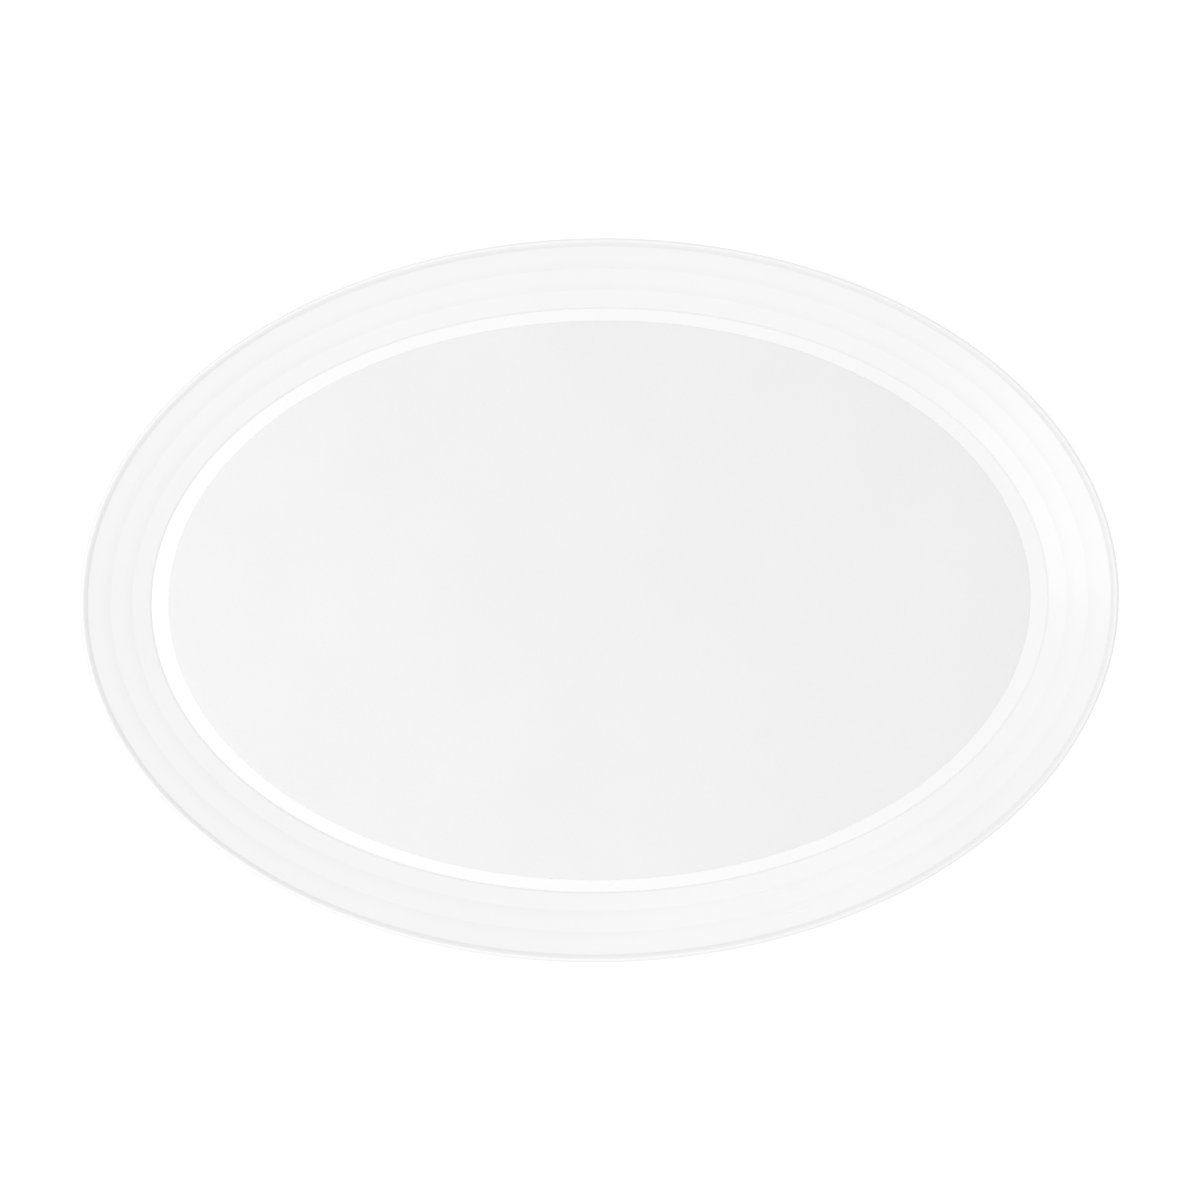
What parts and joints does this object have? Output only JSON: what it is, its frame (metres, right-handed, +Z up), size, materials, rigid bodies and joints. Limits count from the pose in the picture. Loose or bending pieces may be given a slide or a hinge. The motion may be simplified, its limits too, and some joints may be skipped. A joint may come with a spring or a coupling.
{
  "type": "lazy susan turntable",
  "caption": "Low oval turntable: a white tray with a stepped, outward-sloping rim and an inlaid grey mat, turning freely on a small round base.",
  "frame": {"origin": "on the table, under the axis that the tray turns about, at the centre of the footprint", "axes": "+Z up along the turning axis, +X along the tray's long axis, +Y along its short axis"},
  "size_m": [0.419, 0.292, 0.039],
  "materials": {
    "tray_white": "white moulded plastic, satin, slightly glossy on the rim",
    "mat_grey": "very light grey soft mat, matte, fine grain",
    "moulded_white": "white moulded plastic, fine spark-eroded texture",
    "foot_rubber": "soft grey rubber, matte",
    "race_steel": "pressed steel strip, lightly oiled",
    "ball_steel": "polished bearing steel",
    "zinc_steel": "bright zinc plating, satin",
    "spring_steel": "blued spring steel",
    "natural_acetal": "natural acetal, waxy",
    "cage_nylon": "black nylon, matte"
  },
  "bodies": {
    "base": {"base_shell": "moulded_white", "lower_race": "race_steel", "pivot_bolt": "zinc_steel", "preload_spring": "spring_steel", "thrust_washer": "zinc_steel", "lock_nut": "zinc_steel", "foot_1": "foot_rubber", "foot_2": "foot_rubber", "foot_3": "foot_rubber", "foot_4": "foot_rubber", "foot_5": "foot_rubber", "foot_6": "foot_rubber"},
    "cage": {"ball_cage": "cage_nylon", "ball_1": "ball_steel", "ball_2": "ball_steel", "ball_3": "ball_steel", "ball_4": "ball_steel", "ball_5": "ball_steel", "ball_6": "ball_steel", "ball_7": "ball_steel", "ball_8": "ball_steel", "ball_9": "ball_steel", "ball_10": "ball_steel", "ball_11": "ball_steel", "ball_12": "ball_steel", "ball_13": "ball_steel", "ball_14": "ball_steel", "ball_15": "ball_steel", "ball_16": "ball_steel", "ball_17": "ball_steel", "ball_18": "ball_steel", "ball_19": "ball_steel", "ball_20": "ball_steel"},
    "tray": {"tray_shell": "tray_white", "non_slip_mat": "mat_grey", "hub_cap": "moulded_white", "tray_screws": "zinc_steel", "swivel_plate": "moulded_white", "hub_bush": "natural_acetal", "upper_race": "race_steel"}
  },
  "joints": [
    {"name": "tray_spin", "type": "hinge", "parent": "base", "child": "tray", "pos_m": [0, 0, 0.016], "axis": [0, 0, 1], "continuous": true},
    {"name": "cage_spin", "type": "hinge", "parent": "base", "child": "cage", "pos_m": [0, 0, 0.011], "axis": [0, 0, 1], "continuous": true}
  ],
  "couplings": [
    {"joint": "cage_spin", "follows": "tray_spin", "ratio": 0.5}
  ]
}
